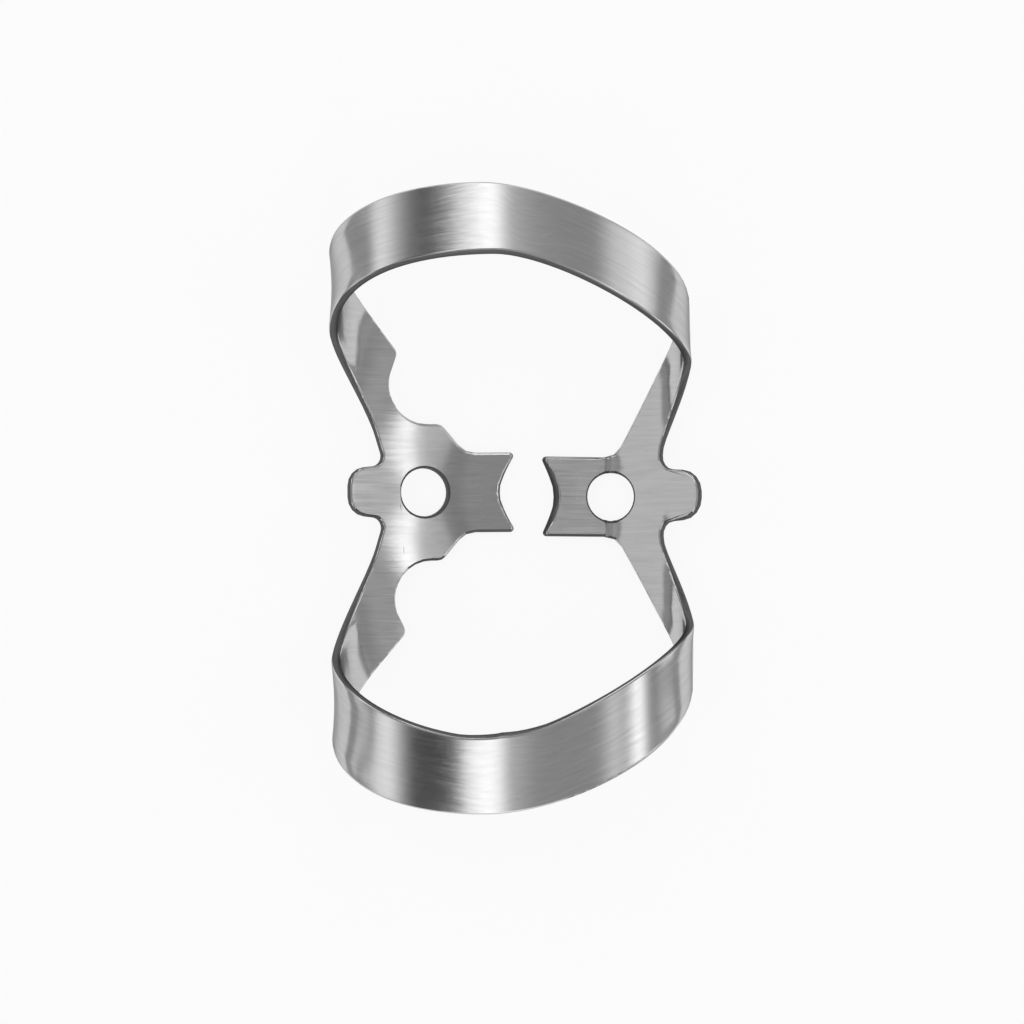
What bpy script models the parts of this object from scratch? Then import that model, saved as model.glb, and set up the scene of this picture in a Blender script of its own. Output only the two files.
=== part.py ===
"""A rubber dam clamp with two bows, stamped and bent from one sheet of spring steel.

Metres, +Z up. X runs from the left jaw to the right jaw, and the bows arch over the jaws on the +Y
and -Y sides. The clamp stands on its jaws, and the origin is under the middle of its box.

Each half, on the +Y and on the -Y side, is made as a thin surface. Half a jaw with its arm is cut out
flat, in a blank whose u is the distance from the forceps hole along the sheet, outwards, and whose y
is the distance from the middle plane. It is then bent in side view. Both halves have the same blanks,
apart from the left arm's notch, but each has a bow of its own, because the two are bent by hand and
aren't quite alike. A bow is a loft between its inner and its outer edge, from where one arm stands
upright to where the other does.
At last the surface gets its thickness and its rounded edges.
"""

import math
from collections import namedtuple

import bmesh
import bpy
from mathutils import Vector
from mathutils.geometry import interpolate_bezier

MM = 0.001

Jaw = namedtuple("Jaw", "side way start tab_path arm_path bend_lines hole_x hole_run lowest sway root_u curl_u")
Half = namedtuple("Half", "way notch_u nose_u crown_x crown_y lean turn inner outer")
Pulls = namedtuple("Pulls", "left_curl crown_left crown_right right_curl")

# Sheet and what both jaws share
SHEET_THICKNESS = 0.47 * MM
EDGE_ROUNDING = 0.13 * MM
HOLE_DIAMETER = 2.5 * MM
TIP_HALF_WIDTH = 2.1 * MM
TIP_CORNER_RADIUS = 0.2 * MM
TAB_ROOT_Y = 1.42 * MM
BEND_LENGTH = 0.8 * MM

# Left jaw, from its hole, and how far it stands off the middle plane
LEFT_HOLE_X = 4.73 * MM
LEFT_SWAY = 0.3 * MM
LEFT_TIP_REACH = 4.97 * MM
LEFT_TIP_HOLLOW = 4.06 * MM
LEFT_TIP_HOLLOW_RADIUS = 0.9 * MM
LEFT_TIP_SLOPE = math.radians(0)
LEFT_TIP_BEND_U = -2.05 * MM
LEFT_PLATE_SLOPE = math.radians(20)
LEFT_TAB_BEND_U = 1.1 * MM
LEFT_TAB_SLOPE = math.radians(26)
LEFT_TAB_REACH = 4.3 * MM
LEFT_TAB_HALF_WIDTH = 1.2 * MM
LEFT_TAB_CORNER_RADIUS = 1.0 * MM
LEFT_TAB_ROOT_U = 2.2 * MM
LEFT_TAB_ROOT_RADIUS = 0.55 * MM
LEFT_SHOULDER_U = -0.98 * MM
LEFT_SHOULDER_RADIUS = 0.55 * MM
LEFT_WAIST_U = -2.3 * MM
LEFT_WAIST_RADIUS = 1.2 * MM

# Left arm: its inner side has a round notch, with a small nose at the notch's outer end
LEFT_ARM_ROOT_U = 2.69 * MM
LEFT_ARM_ROOT_Y = 2.93 * MM
LEFT_ARM_CURL_PULL = 2.07 * MM
LEFT_ARM_ROOT_PULL = 1.47 * MM
NOTCH_Y = 5.72 * MM
NOTCH_RADIUS = 2.12 * MM
NOTCH_ROOT_ANGLE = math.radians(-25)
NOTCH_NOSE_ANGLE = math.radians(19)
NOSE_Y = 7.4 * MM
NOSE_RADIUS = 0.4 * MM

# Left curl, where the arm stands upright and becomes the bow
LEFT_CURL_X = 9.26 * MM
LEFT_CURL_RADIUS = 3.8 * MM
LEFT_CURL_INNER_Y = 8.38 * MM
LEFT_CURL_OUTER_Y = 12.74 * MM
LEFT_CURL_INNER_HEADING = math.radians(26)
LEFT_CURL_OUTER_HEADING = math.radians(33)

# Right jaw, from its hole, which its one bend runs through
RIGHT_HOLE_X = 5.17 * MM
RIGHT_SWAY = 0 * MM
RIGHT_TIP_REACH = 4.05 * MM
RIGHT_TIP_HOLLOW = 3.19 * MM
RIGHT_TIP_HOLLOW_RADIUS = 1.3 * MM
RIGHT_TIP_SLOPE = math.radians(-26)
RIGHT_BEND_U = 0 * MM
RIGHT_TAB_SLOPE = math.radians(30)
RIGHT_TAB_REACH = 5.35 * MM
RIGHT_TAB_HALF_WIDTH = 1.25 * MM
RIGHT_TAB_CORNER_RADIUS = 1.15 * MM
RIGHT_TAB_ROOT_U = 2.95 * MM
RIGHT_TAB_ROOT_RADIUS = 0.7 * MM
RIGHT_CORNER_U = 0.3 * MM
RIGHT_CORNER_RADIUS = 1.2 * MM

# Right arm
RIGHT_ARM_ROOT_U = 3.1 * MM
RIGHT_ARM_ROOT_Y = 2.52 * MM
RIGHT_ARM_INNER_ROOT_U = 1.08 * MM
RIGHT_ARM_INNER_ROOT_Y = 3.35 * MM
RIGHT_ARM_CURL_PULL = 1.4 * MM
RIGHT_ARM_ROOT_PULL = 0.35 * MM

# Right curl
RIGHT_CURL_X = 9.17 * MM
RIGHT_CURL_RADIUS = 2.7 * MM
RIGHT_CURL_INNER_Y = 6.8 * MM
RIGHT_CURL_OUTER_Y = 10.06 * MM
RIGHT_CURL_INNER_HEADING = math.radians(30)
RIGHT_CURL_OUTER_HEADING = math.radians(40)

# Bows: a crown is the inner edge's highest point, and a pull says how far an edge keeps its
# direction on leaving a curl or the crown
CROWN_Z = 8.9 * MM
BOW_WIDTH = 4.35 * MM

# Back half, on +Y
BACK_NOTCH_U = -0.15 * MM
BACK_NOSE_U = 1.47 * MM
BACK_CROWN_X = -0.89 * MM
BACK_CROWN_Y = 12.27 * MM
BACK_LEAN = math.radians(29)
BACK_TURN = math.radians(9)
BACK_INNER_PULLS = Pulls(left_curl=5.21 * MM, crown_left=5.01 * MM, crown_right=3.3 * MM, right_curl=3.26 * MM)
BACK_OUTER_PULLS = Pulls(left_curl=2.7 * MM, crown_left=5.09 * MM, crown_right=3.28 * MM, right_curl=4.39 * MM)

# Front half, on -Y
FRONT_NOTCH_U = -0.42 * MM
FRONT_NOSE_U = 1.05 * MM
FRONT_CROWN_X = -0.95 * MM
FRONT_CROWN_Y = 12.68 * MM
FRONT_LEAN = math.radians(26)
FRONT_TURN = math.radians(8.4)
FRONT_INNER_PULLS = Pulls(left_curl=4.74 * MM, crown_left=3.78 * MM, crown_right=2.7 * MM, right_curl=2.76 * MM)
FRONT_OUTER_PULLS = Pulls(left_curl=3.34 * MM, crown_left=5.48 * MM, crown_right=4.42 * MM, right_curl=5.24 * MM)

BACK = Half(
    1, BACK_NOTCH_U, BACK_NOSE_U, BACK_CROWN_X, BACK_CROWN_Y, BACK_LEAN, BACK_TURN,
    BACK_INNER_PULLS, BACK_OUTER_PULLS,
)
FRONT = Half(
    -1, FRONT_NOTCH_U, FRONT_NOSE_U, FRONT_CROWN_X, FRONT_CROWN_Y, FRONT_LEAN, FRONT_TURN,
    FRONT_INNER_PULLS, FRONT_OUTER_PULLS,
)

# Mesh
ACROSS = 6
BOW_STEPS = 25
ARM_STEPS = 10
OUTLINE_STEPS = 40
NOTCH_STEPS = 5
HOLE_STEPS = 18
BEND_STEPS = 5
ARC_STEP = math.radians(20)
BEVEL_SEGMENTS = 2
SHARP_ANGLE = math.radians(55)
WELD = 0.002 * MM

STEEL_COLOUR = (0.56, 0.56, 0.57, 1.0)
STEEL_ROUGHNESS = 0.28

UPRIGHT = math.pi / 2


def clear_scene():
    """Take away what the scene holds."""
    for thing in list(bpy.data.objects):
        bpy.data.objects.remove(thing, do_unlink=True)


def walk(path, distance):
    """Where a side view leads: its stretches are (length, slope at the start, slope at the end)."""
    x = z = 0.0
    for length, before, after in path:
        part = min(distance, length)
        if before == after:
            x += part * math.cos(before)
            z += part * math.sin(before)
        else:
            radius = length / (after - before)
            slope = before + part / radius
            x += radius * (math.sin(slope) - math.sin(before))
            z += radius * (math.cos(before) - math.cos(slope))
        distance -= part
        if distance <= 0:
            break
    return x, z


def lowest_rise(path):
    """The height of a side view's lowest point, where it turns from falling to rising."""
    passed = 0.0
    for length, before, after in path:
        if before <= 0 < after:
            return walk(path, passed + length * before / (before - after))[1]
        passed += length
    return 0.0


def bent_jaw(side, way, hole_x, sway, tip_reach, tip_slope, bends, tab_reach, root_u, curl_x, curl_radius):
    """Half a jaw's side views: one straight out through its tab, one up through its arm's curl."""
    path = []
    bend_lines = []
    here, slope = -tip_reach, tip_slope
    for middle, after in bends:
        bend_lines += [middle + BEND_LENGTH * (step / BEND_STEPS - 1 / 2) for step in range(BEND_STEPS + 1)]
        path.append((middle - BEND_LENGTH / 2 - here, slope, slope))
        path.append((BEND_LENGTH, slope, after))
        here, slope = middle + BEND_LENGTH / 2, after
    hole_run = walk(path + [(tip_reach, slope, slope)], tip_reach)[0]
    bent_run = walk(path, here + tip_reach)[0]
    curl_run = curl_x - hole_x + hole_run
    arc_run = curl_radius * (1 - math.sin(slope))
    straight = (curl_run - arc_run - bent_run) / math.cos(slope)
    curl = curl_radius * (UPRIGHT - slope)
    return Jaw(
        side=side,
        way=way,
        start=-tip_reach,
        tab_path=path + [(tab_reach, slope, slope)],
        arm_path=path + [(straight, slope, slope), (curl, slope, UPRIGHT)],
        bend_lines=bend_lines,
        hole_x=hole_x,
        hole_run=hole_run,
        lowest=lowest_rise(path),
        sway=sway,
        root_u=root_u,
        curl_u=here + straight + curl,
    )


def bent(jaw, point):
    """A point of the flat blank, in space. The jaw's sway fades out along its arm."""
    u, y = point[0], point[1]
    path = jaw.arm_path if y > TAB_ROOT_Y else jaw.tab_path
    run, rise = walk(path, u - jaw.start)
    along = min(max((u - jaw.root_u) / (jaw.curl_u - jaw.root_u), 0), 1)
    fade = (1 + math.cos(math.pi * along)) / 2 if y > TAB_ROOT_Y else 1
    return Vector((
        jaw.side * (run - jaw.hole_run + jaw.hole_x),
        jaw.way * y + jaw.sway * fade,
        rise - jaw.lowest,
    ))


def rounded(corners):
    """An outline through corners (u, y, radius), each rounded by an arc of its radius."""
    points = []
    last = len(corners) - 1
    for number, (u, y, radius) in enumerate(corners):
        here = Vector((u, y))
        if number in (0, last) or radius == 0:
            points.append(here)
            continue
        back = (Vector(corners[number - 1][:2]) - here).normalized()
        on = (Vector(corners[number + 1][:2]) - here).normalized()
        turn = math.pi - back.angle(on)
        cut = radius * math.tan(turn / 2)
        centre = here + (back + on).normalized() * (radius / math.cos(turn / 2))
        first = here + back * cut - centre
        steps = 2 * max(1, round(turn / ARC_STEP / 2))
        sense = 1 if back.x * on.y - back.y * on.x < 0 else -1
        for step in range(steps + 1):
            angle = sense * turn * step / steps
            points.append(centre + Vector((
                first.x * math.cos(angle) - first.y * math.sin(angle),
                first.x * math.sin(angle) + first.y * math.cos(angle),
            )))
    return points


def arc(centre, radius, first, last, steps):
    """Points of an arc of the blank, from one angle to another."""
    angles = [first + (last - first) * step / steps for step in range(steps + 1)]
    return [Vector((centre[0] + radius * math.cos(a), centre[1] + radius * math.sin(a))) for a in angles]


def bezier(start, start_pull, end_pull, end, steps):
    """Points of a Bezier curve, given by its ends and the pulls at them."""
    return [Vector(p) for p in interpolate_bezier(start, start + start_pull, end + end_pull, end, steps + 1)]


def spaced_like(line, model):
    """Points of a line, set along it in the shares of its length that another line's points have."""
    def lengths(points):
        total = [0.0]
        for a, b in zip(points, points[1:]):
            total.append(total[-1] + (b - a).length)
        return total
    own, other = lengths(line), lengths(model)
    result = []
    for length in other:
        target = own[-1] * length / other[-1]
        place = next(i for i in range(1, len(own)) if own[i] >= target - 1e-12)
        share = (target - own[place - 1]) / (own[place] - own[place - 1])
        result.append(line[place - 1].lerp(line[place], share))
    return result


def tip_side(reach, hollow, hollow_radius, before):
    """The jaw's outline from its arm to the middle of its hollow tip."""
    corner = (-reach, TIP_HALF_WIDTH, TIP_CORNER_RADIUS)
    mirrored = (-reach, -TIP_HALF_WIDTH, 0)
    line = rounded(before + [corner, (-hollow, 0, hollow_radius), mirrored])
    half = [p for p in line if p.y > WELD]
    middle = min(line, key=lambda p: abs(p.y))
    return half + [Vector((middle.x, 0))]


def tab_side(reach, half_width, radius, root_u, root_radius, arm_root):
    """The jaw's outline from the middle of its tab to its arm."""
    return rounded([
        (reach, 0, 0),
        (reach, half_width, radius),
        (root_u, TAB_ROOT_Y, root_radius),
        (*arm_root, 0),
    ])


def add_grid(mesh, rows):
    """Fill the cells between rows of points."""
    verts = [[mesh.verts.new(p) for p in row] for row in rows]
    for row, following in zip(verts, verts[1:]):
        for cell in zip(row, row[1:], following[1:], following):
            mesh.faces.new(cell)


def add_jaw(mesh, jaw, tab_line, tip_line):
    """Half a jaw: one flat face with half the forceps hole in it, cut along its bends and then bent."""
    root = [tab_line[-1].lerp(tip_line[0], step / ACROSS) for step in range(1, ACROSS)]
    hole = arc((0, 0), HOLE_DIAMETER / 2, math.pi, 0, HOLE_STEPS)
    blank = mesh.faces.new([mesh.verts.new((p.x, p.y, 0)) for p in tab_line + root + tip_line + hole])
    pieces = [blank, *blank.edges, *blank.verts]
    for u in jaw.bend_lines:
        cut = bmesh.ops.bisect_plane(mesh, geom=pieces, dist=WELD, plane_co=(u, 0, 0), plane_no=(1, 0, 0))
        pieces = cut["geom"]
    for corner in pieces:
        if isinstance(corner, bmesh.types.BMVert):
            corner.co = bent(jaw, corner.co)


def add_arm(mesh, jaw, outer_line, inner_line):
    """The arm, from its root to where it stands upright."""
    outer_line = spaced_like(outer_line, inner_line)
    rows = []
    for a, b in zip(outer_line, inner_line):
        rows.append([bent(jaw, a.lerp(b, step / ACROSS)) for step in range(ACROSS + 1)])
    add_grid(mesh, rows)


def heading(angle):
    """The direction in which an edge of the blank leaves the curl, towards its jaw."""
    return Vector((-math.cos(angle), -math.sin(angle)))


def arm_edge(curl, curl_heading, curl_pull, root, root_direction, root_pull, steps):
    """One edge of an arm, from its curl to its root."""
    return bezier(
        curl, heading(curl_heading) * curl_pull, root_direction.normalized() * root_pull, root, steps
    )


def left_side(mesh, half):
    """Half of the left jaw, with its arm."""
    jaw = bent_jaw(
        -1, half.way, LEFT_HOLE_X, LEFT_SWAY, LEFT_TIP_REACH, LEFT_TIP_SLOPE,
        [(LEFT_TIP_BEND_U, LEFT_PLATE_SLOPE), (LEFT_TAB_BEND_U, LEFT_TAB_SLOPE)],
        LEFT_TAB_REACH, LEFT_ARM_ROOT_U, LEFT_CURL_X, LEFT_CURL_RADIUS,
    )
    root = Vector((LEFT_ARM_ROOT_U, LEFT_ARM_ROOT_Y))
    tab_line = tab_side(
        LEFT_TAB_REACH, LEFT_TAB_HALF_WIDTH, LEFT_TAB_CORNER_RADIUS,
        LEFT_TAB_ROOT_U, LEFT_TAB_ROOT_RADIUS, root,
    )
    notch = (half.notch_u, NOTCH_Y)
    shoulder_y = NOTCH_Y - NOTCH_RADIUS
    tip_line = arc(notch, NOTCH_RADIUS, NOTCH_ROOT_ANGLE, -UPRIGHT, NOTCH_STEPS)[:-1] + tip_side(
        LEFT_TIP_REACH, LEFT_TIP_HOLLOW, LEFT_TIP_HOLLOW_RADIUS,
        [
            (half.notch_u, shoulder_y, 0),
            (LEFT_SHOULDER_U, shoulder_y, LEFT_SHOULDER_RADIUS),
            (LEFT_WAIST_U, TIP_HALF_WIDTH, LEFT_WAIST_RADIUS),
        ],
    )
    add_jaw(mesh, jaw, tab_line, tip_line)

    outer_line = arm_edge(
        Vector((jaw.curl_u, LEFT_CURL_INNER_Y)), LEFT_CURL_INNER_HEADING, LEFT_ARM_CURL_PULL,
        root, root - Vector((LEFT_TAB_ROOT_U, TAB_ROOT_Y)), LEFT_ARM_ROOT_PULL, OUTLINE_STEPS,
    )
    upper_notch = arc(notch, NOTCH_RADIUS, NOTCH_NOSE_ANGLE, NOTCH_ROOT_ANGLE, NOTCH_STEPS)
    curl = Vector((jaw.curl_u, LEFT_CURL_OUTER_Y))
    nose = Vector((half.nose_u, NOSE_Y))
    third = (nose - curl).length / 3
    bend = curl + heading(LEFT_CURL_OUTER_HEADING) * third
    shank = arm_edge(
        curl, LEFT_CURL_OUTER_HEADING, third, nose, bend - nose, (bend - nose).length / 2, ARM_STEPS,
    )
    around_nose = rounded([(*shank[-2], 0), (*nose, NOSE_RADIUS), (*upper_notch[0], 0)])
    add_arm(mesh, jaw, outer_line, shank[:-1] + around_nose[1:-1] + upper_notch)
    return jaw


def right_side(mesh, half):
    """Half of the right jaw, with its arm."""
    jaw = bent_jaw(
        1, half.way, RIGHT_HOLE_X, RIGHT_SWAY, RIGHT_TIP_REACH, RIGHT_TIP_SLOPE,
        [(RIGHT_BEND_U, RIGHT_TAB_SLOPE)], RIGHT_TAB_REACH, RIGHT_ARM_ROOT_U, RIGHT_CURL_X, RIGHT_CURL_RADIUS,
    )
    root = Vector((RIGHT_ARM_ROOT_U, RIGHT_ARM_ROOT_Y))
    inner_root = Vector((RIGHT_ARM_INNER_ROOT_U, RIGHT_ARM_INNER_ROOT_Y))
    tab_line = tab_side(
        RIGHT_TAB_REACH, RIGHT_TAB_HALF_WIDTH, RIGHT_TAB_CORNER_RADIUS,
        RIGHT_TAB_ROOT_U, RIGHT_TAB_ROOT_RADIUS, root,
    )
    tip_line = tip_side(
        RIGHT_TIP_REACH, RIGHT_TIP_HOLLOW, RIGHT_TIP_HOLLOW_RADIUS,
        [(*inner_root, 0), (RIGHT_CORNER_U, TIP_HALF_WIDTH, RIGHT_CORNER_RADIUS)],
    )
    add_jaw(mesh, jaw, tab_line, tip_line)

    outer_line = arm_edge(
        Vector((jaw.curl_u, RIGHT_CURL_INNER_Y)), RIGHT_CURL_INNER_HEADING, RIGHT_ARM_CURL_PULL,
        root, root - Vector((RIGHT_TAB_ROOT_U, TAB_ROOT_Y)), RIGHT_ARM_ROOT_PULL, OUTLINE_STEPS,
    )
    curl = Vector((jaw.curl_u, RIGHT_CURL_OUTER_Y))
    third = (inner_root - curl).length / 3
    inner_line = arm_edge(
        curl, RIGHT_CURL_OUTER_HEADING, third,
        inner_root, inner_root - Vector((RIGHT_CORNER_U, TIP_HALF_WIDTH)), third, ARM_STEPS,
    )
    add_arm(mesh, jaw, outer_line, inner_line)
    return jaw


def bow_edge(left, left_heading, crown, right, right_heading, way, pulls):
    """One edge of a bow, over the crown from curl to curl."""
    rise = Vector((0, way * math.sin(left_heading), math.cos(left_heading)))
    fall = Vector((0, way * math.sin(right_heading), math.cos(right_heading)))
    along = Vector((1, 0, 0))
    up = bezier(left, rise * pulls.left_curl, along * -pulls.crown_left, crown, BOW_STEPS)
    down = bezier(crown, along * pulls.crown_right, fall * pulls.right_curl, right, BOW_STEPS)
    return up + down[1:]


def add_bow(mesh, half, left_jaw, right_jaw):
    """A bow: straight lines across, between its inner and its outer edge."""
    across = Vector((
        -math.sin(half.turn) * math.cos(half.lean),
        half.way * math.cos(half.turn) * math.cos(half.lean),
        -math.sin(half.lean),
    ))
    crown = Vector((half.crown_x, half.way * half.crown_y, CROWN_Z))
    inner = bow_edge(
        bent(left_jaw, (left_jaw.curl_u, LEFT_CURL_INNER_Y)), LEFT_CURL_INNER_HEADING,
        crown,
        bent(right_jaw, (right_jaw.curl_u, RIGHT_CURL_INNER_Y)), RIGHT_CURL_INNER_HEADING,
        half.way, half.inner,
    )
    outer = bow_edge(
        bent(left_jaw, (left_jaw.curl_u, LEFT_CURL_OUTER_Y)), LEFT_CURL_OUTER_HEADING,
        crown + across * BOW_WIDTH,
        bent(right_jaw, (right_jaw.curl_u, RIGHT_CURL_OUTER_Y)), RIGHT_CURL_OUTER_HEADING,
        half.way, half.outer,
    )
    rows = []
    for a, b in zip(inner, outer):
        rows.append([a.lerp(b, step / ACROSS) for step in range(ACROSS + 1)])
    add_grid(mesh, rows)


def sheet():
    """The clamp's middle surface."""
    mesh = bmesh.new()
    for half in (BACK, FRONT):
        add_bow(mesh, half, left_side(mesh, half), right_side(mesh, half))
    bmesh.ops.remove_doubles(mesh, verts=mesh.verts[:], dist=WELD)
    bmesh.ops.recalc_face_normals(mesh, faces=mesh.faces[:])
    data = bpy.data.meshes.new("clamp")
    mesh.to_mesh(data)
    mesh.free()
    return data


def steel():
    """Brushed spring steel."""
    material = bpy.data.materials.new("spring_steel")
    material.use_nodes = True
    shader = material.node_tree.nodes["Principled BSDF"]
    shader.inputs["Base Color"].default_value = STEEL_COLOUR
    shader.inputs["Metallic"].default_value = 1.0
    shader.inputs["Roughness"].default_value = STEEL_ROUGHNESS
    return material


def make_clamp():
    """The whole clamp, with its thickness and its rounded edges."""
    data = sheet()
    data.materials.append(steel())
    clamp = bpy.data.objects.new("clamp", data)
    collection = bpy.data.collections.new("rubber_dam_clamp")
    bpy.context.scene.collection.children.link(collection)
    collection.objects.link(clamp)

    thickness = clamp.modifiers.new("thickness", "SOLIDIFY")
    thickness.thickness = SHEET_THICKNESS
    thickness.offset = 0
    thickness.use_even_offset = True
    rim = clamp.modifiers.new("rounded_edges", "BEVEL")
    rim.width = EDGE_ROUNDING
    rim.segments = BEVEL_SEGMENTS
    rim.limit_method = "ANGLE"
    rim.angle_limit = SHARP_ANGLE
    rim.use_clamp_overlap = False
    clamp.modifiers.new("flat_stays_flat", "WEIGHTED_NORMAL")
    data.shade_smooth()
    return clamp


def set_on_origin(clamp):
    """Stand the clamp on Z = 0, with the middle of its box over the origin."""
    bpy.context.view_layer.update()
    evaluated = clamp.evaluated_get(bpy.context.evaluated_depsgraph_get())
    corners = [Vector(corner) for corner in evaluated.bound_box]
    low = Vector([min(c[axis] for c in corners) for axis in range(3)])
    high = Vector([max(c[axis] for c in corners) for axis in range(3)])
    middle = (low + high) / 2
    clamp.location = (-middle.x, -middle.y, -low.z)
    bpy.context.view_layer.update()


clear_scene()
set_on_origin(make_clamp())
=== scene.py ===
"""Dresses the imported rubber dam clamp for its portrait, as a Blender add-on that is run as a script.

The clamp is one stamping of spring steel, so it is one piece. Its faces were ground along the strip
before it was bent, and its edges are as the press sheared them and a tumbler rounded them.
Everything is in metres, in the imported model's frame: X from the left jaw to the right jaw, and the
bows on +Y and -Y.
"""
import math
from collections import namedtuple

import bmesh
import bpy
import numpy as np
from mathutils import Matrix, Vector
from mathutils.bvhtree import BVHTree
from mathutils.kdtree import KDTree


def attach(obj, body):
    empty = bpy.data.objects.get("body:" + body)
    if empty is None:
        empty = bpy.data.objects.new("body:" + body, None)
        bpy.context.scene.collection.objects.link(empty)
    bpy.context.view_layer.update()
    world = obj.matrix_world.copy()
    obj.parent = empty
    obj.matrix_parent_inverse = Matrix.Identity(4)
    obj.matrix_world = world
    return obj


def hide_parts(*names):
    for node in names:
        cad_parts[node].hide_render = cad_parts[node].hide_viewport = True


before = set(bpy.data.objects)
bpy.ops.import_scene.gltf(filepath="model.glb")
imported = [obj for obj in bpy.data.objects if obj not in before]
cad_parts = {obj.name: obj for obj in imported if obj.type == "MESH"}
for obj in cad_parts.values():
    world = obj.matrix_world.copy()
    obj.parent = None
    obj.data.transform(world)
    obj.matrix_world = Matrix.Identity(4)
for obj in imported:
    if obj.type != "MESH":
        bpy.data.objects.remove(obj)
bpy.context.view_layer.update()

bl_info = {
    "name": "Rubber Dam Clamp",
    "version": (1, 0, 0),
    "blender": (4, 5, 0),
    "location": "View3D > Sidebar > Clamp",
    "description": "Dresses the packed rubber dam clamp and sets up its studio",
    "category": "Object",
}

MM = 0.001

# Vertices this close together are one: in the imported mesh, and where cells are cut
MESH_WELD = 0.002 * MM
CELL_WELD = 0.01 * MM

# The strip is wound round this line, which is parallel to Y
WINDING_X = -0.2 * MM
WINDING_Z = 4.5 * MM
WINDING_RADIUS = 8.0 * MM

# The strip's middle is found in steps of this angle, in which enough vertices lie, and then evened out
MIDDLE_STEP = math.radians(6)
MIDDLE_NEEDS = 5
MIDDLE_SPREAD = 5

# The jaws, with their tabs and the arms' lower ends, lie under this height and end this far from X = 0
JAW_TOP_Z = 3.6 * MM
JAW_REACH = 9.6 * MM

# The finishes' places in the clamp's list of materials
# The last place holds the cut edges, whose dark colour is partly painted shade, and the roundings painted in
# shade with it
SHEET, ROUNDING, CUT_AND_SHADE = range(3)

# A face surely belongs to the sheet where the metal behind it is this thin and ends in a parallel face.
# PARALLEL, and ALIKE below, are least cosines between two normals. A ray starts this far inside the metal.
SHEET_AT_MOST = 0.56 * MM
PARALLEL = 0.99
RAY_START = 0.01 * MM
# Any other face is compared with the nearest such face that looks the same way: it is the sheet's too where
# it turns little from it, a rounding where it turns more, and cut metal beyond that
ALIKE = 0.1
ROUNDING_FROM = math.radians(20)
CUT_FROM = math.radians(55)
EDGE_REACH = 0.7 * MM
# Roundings round the holes, and in the jaws where they face the front, get the cut edge's dark colour as
# painted shade
SHADED_HOLE_RIM = 1.6 * MM
SHADED_FACES_Y = -0.3
# Small faces in the right jaw's bend lie askew, but they are the sheet's
BEND_X = 5.0 * MM
BEND_REACH = 0.7 * MM
BEND_HALF_WIDTH = 1.85 * MM
BEND_FACES_Z = 0.2
HOLE_EDGE = 0.15 * MM

# The jaws' long faces are cut into cells, and their shading is evened out over the bends
CELL_LENGTH = 0.3 * MM
CELL_WIDTH = 0.25 * MM
CELL_SLACK = 0.004 * MM
LEFT_SPREAD = 0.75 * MM
RIGHT_SPREAD = 0.18 * MM
SPREAD_REACH = 2.5
LEAN_AT_MOST = 0.06
JAW_FADES_AT_Z = 2.8 * MM
# The right jaw's bend starts with a crease. Up to this X, sheet that leans more than this towards +X keeps
# its own normals. Past it, the normals lean no more than in the bend.
JAW_ENDS_AT = 4.8 * MM
JAW_LEANS = 0.34
BEND_LEANS = 0.26

# A bow is bent without a twist, so that its shading is the same from edge to edge. It is evened out over a
# number of steps along X, fully in the middle and less towards the ends.
BOW_STEP = 0.2 * MM
BOW_SPREAD = 11
BOW_EVEN_TO = 6.5 * MM
BOW_FADES_AT = 9.0 * MM

# The curls' middle lies deeper than their edges, because a bent strip turns its edges up
CURL_HOLLOW = 0.13 * MM
CURL_ANGLE = math.radians(88)
CURL_REACH = math.radians(48)
STRIP_HALF_WIDTH = 2.1 * MM

# The forceps holes are a little longer along the sheet, which slopes on both sides of them
Hole = namedtuple("Hole", "x y longer wider left_slope right_slope")
HOLES = (
    Hole(x=-4.93 * MM, y=0.555 * MM, longer=0.04, wider=0.016, left_slope=-0.47, right_slope=-0.47),
    Hole(x=4.97 * MM, y=0.255 * MM, longer=0.14, wider=0.016, left_slope=-0.49, right_slope=0.577),
)
HOLE_KEEPS = 1.3 * MM
HOLE_FADES = 2.0 * MM

# The tips' hollows are round. They are made deeper, by most between a tip's points and its middle, and
# their upper rims are set back. Both fade along the jaw, past a share of the tip's reach, and the rim's
# shift fades across it too.
Tip = namedtuple("Tip", "x y half_width deeper reach slope rim upper")
TIPS = (
    Tip(x=-0.9 * MM, y=0.555 * MM, half_width=1.95 * MM, deeper=0.085 * MM, reach=1.5 * MM, slope=0,
        rim=0.06 * MM, upper=0.25 * MM),
    Tip(x=1.95 * MM, y=0.255 * MM, half_width=2.0 * MM, deeper=0.06 * MM, reach=1.5 * MM, slope=-0.49,
        rim=0.13 * MM, upper=1.6 * MM),
)
TIP_KEEPS = 0.3
RIM_KEEPS = 0.6

# The front bow's inner edge is drawn in a little at its crown
CROWN_X = -0.75 * MM
CROWN_REACH = 2.3 * MM
CROWN_DRAWN_IN = 0.27 * MM
CROWN_FALL = 1.3

# The colour that steel mirrors in at a slant, as a share of its own
SLANT_TINT = (0.45, 0.45, 0.45, 1)

# How much the cloud and the dots shift a finish's colour, the lines and the cloud its roughness, and the
# broad lines its slope
CLOUD_CONTRAST = 0.12
DOT_CONTRAST = -0.1
LINES_ROUGHEN = 0.12
CLOUD_ROUGHENS = 0.08
BROAD_PITCH = 0.6

# Camera
TARGET = Vector((-0.2037, 0.255, 5.2416)) * MM
DISTANCE = 296 * MM
FOCAL_LENGTH = 200.1
TILT_ABOUT_X = math.radians(-2.434)
TILT_ABOUT_Y = math.radians(-0.062)
ROLL = math.radians(-0.456)
SHIFT_X = -0.00097
SHIFT_Y = -0.01769

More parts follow.
